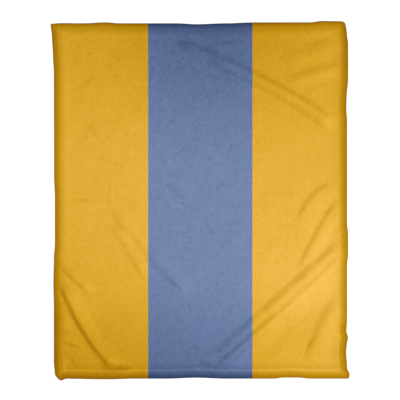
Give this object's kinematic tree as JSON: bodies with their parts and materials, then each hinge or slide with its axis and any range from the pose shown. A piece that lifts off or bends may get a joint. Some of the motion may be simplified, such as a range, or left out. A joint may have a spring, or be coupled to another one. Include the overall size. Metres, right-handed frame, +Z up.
{
  "type": "fleece throw blanket",
  "caption": "Rectangular fleece throw blanket spread out flat, with a turned and stitched hem all round and soft diagonal creases across it.",
  "frame": {"origin": "centre of the bounding box in plan, on the surface the throw lies on", "axes": "+Z up from that surface, +Y along the throw's length towards the edge at the top of the picture, +X across it to the right"},
  "size_m": [1.2848, 1.5448, 0.0124],
  "materials": {
    "fleece": "matt short-pile fleece, mustard yellow with one broad denim-blue band down the middle"
  },
  "bodies": {
    "root": {"throw": "fleece"}
  },
  "joints": []
}
